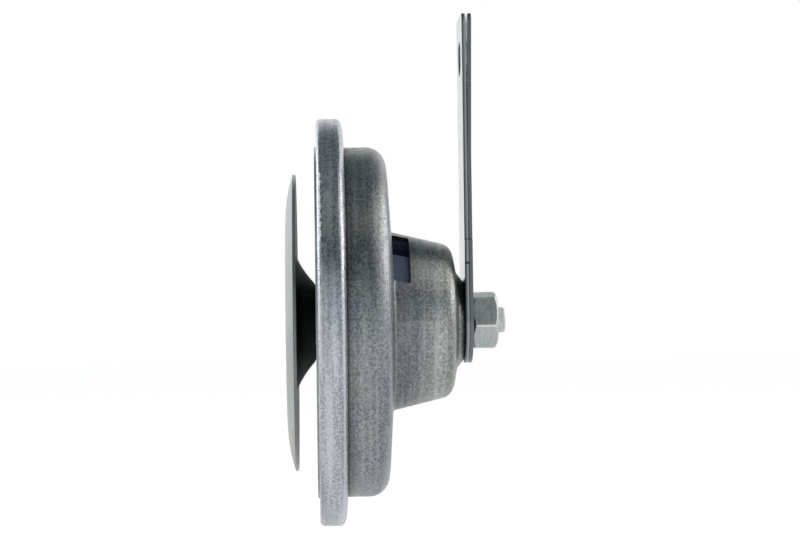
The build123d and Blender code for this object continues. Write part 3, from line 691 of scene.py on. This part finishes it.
world = bpy.data.worlds.new("studio")
bpy.context.scene.world = world
world.use_nodes = True
tree = world.node_tree
tree.nodes.clear()
direction = add_node(tree, "ShaderNodeTexCoord", out="Generated")
forward = add_node(tree, "ShaderNodeSeparateXYZ", {"Vector": direction}, out="X")
upward = add_node(tree, "ShaderNodeSeparateXYZ", {"Vector": direction}, out="Z")
leaning = add_node(tree, "ShaderNodeMath", {
    "operation": "MULTIPLY_ADD", "Value": forward, "Value_001": TILT, "Value_002": upward,
})
overhead = add_node(tree, "ShaderNodeMapRange", {
    "Value": leaning, "From Min": DIM_FROM, "From Max": DIM_TO, "To Min": 1.0, "To Max": DIM_LEVEL,
})
behind = add_node(tree, "ShaderNodeMapRange", {
    "Value": forward, "From Min": BEHIND_FROM, "From Max": BEHIND_TO,
    "To Min": 1.0, "To Max": BEHIND_LEVEL,
})
room = add_node(tree, "ShaderNodeMath", {
    "operation": "MULTIPLY", "Value": overhead, "Value_001": behind,
})
strength = add_node(tree, "ShaderNodeMath", {
    "operation": "MAXIMUM", "Value": room,
    "Value_001": add_node(tree, "ShaderNodeLightPath", out="Is Camera Ray"),
})
tint = add_node(tree, "ShaderNodeMix", {
    "data_type": "RGBA", "Factor_Float": strength, "A_Color": DIM_TONE, "B_Color": WHITE,
})
backdrop = add_node(tree, "ShaderNodeBackground", {"Color": tint, "Strength": strength})
add_node(tree, "ShaderNodeOutputWorld", {"Surface": backdrop})
print("room: white at the sides,", DIM_LEVEL, "overhead")

# %% [markdown]
# Three softboxes draw the highlights. One in front catches the front edge of the ring and the
# rim of the tone disc. One behind catches the rear rounding of the drum and of the bell. A weak,
# wide one above the back fills the cone of the bell. Small lamps would leave hard dots on the
# plating, so each is about as wide as it is far away. Their white is slightly warm. A lamp's
# energy follows from its size, so that a brightness of 1 lights a white face in front of it alike
# for a large box and a small one.

# %% Softboxes
LAMP_WHITE = "#FFF9EE"


def softbox(name, place, target, width, height, brightness):
    """A rectangular area light at a place, aimed at a point, as bright as a number of whites."""
    lamp = bpy.data.lights.new(name, "AREA")
    lamp.shape = "RECTANGLE"
    lamp.size, lamp.size_y = width, height
    lamp.color = linear(LAMP_WHITE)[:3]
    lamp.energy = brightness * pi * width * height
    stand = bpy.data.objects.new(name, lamp)
    stand.location = place
    stand.rotation_mode = "QUATERNION"
    stand.rotation_quaternion = (Vector(target) - Vector(place)).to_track_quat("-Z", "Y")
    bpy.context.scene.collection.objects.link(stand)
    print(name, round(lamp.energy, 2), "W")


middle = (cad_box[0] + cad_box[1]) / 2
for name, place, width, height, brightness in (
    ("front_softbox", (-0.18, -0.80, 0.40), 1.1, 0.6, 1.6),
    ("rear_softbox", (-0.28, 0.80, 0.42), 0.9, 0.7, 1.35),
    ("high_softbox", (0.30, 0.48, 0.80), 0.85, 0.75, 0.55),
):
    softbox(name, place, middle, width, height, brightness)

# %% [markdown]
# The camera looks at the horn from its side, level with its axis and in the plane of the
# diaphragm, so the ring is seen exactly edge on. It stands a little over half a metre away with
# a long lens, and it is rolled by under a degree, as a hand-held one would be.

# %% Camera
EYE = (0.5575, -0.0373, -0.0655)
AIM = (0.0, -0.0166, -0.0522)
ROLL = radians(-0.78)
LENS_MM, SENSOR_MM = 100.35, 36.0

camera_data = bpy.data.cameras.new("camera")
camera_data.lens, camera_data.sensor_width = LENS_MM, SENSOR_MM
camera = bpy.data.objects.new("camera", camera_data)
bpy.context.scene.collection.objects.link(camera)
camera.location = EYE
camera.rotation_mode = "QUATERNION"
turn = (Vector(AIM) - Vector(EYE)).to_track_quat("-Z", "Y")
camera.rotation_quaternion = turn @ Matrix.Rotation(ROLL, 3, "Z").to_quaternion()
bpy.context.scene.camera = camera
bpy.context.scene.view_settings.view_transform = "Standard"
print("camera", round((Vector(AIM) - Vector(EYE)).length / MM), "mm from the horn")
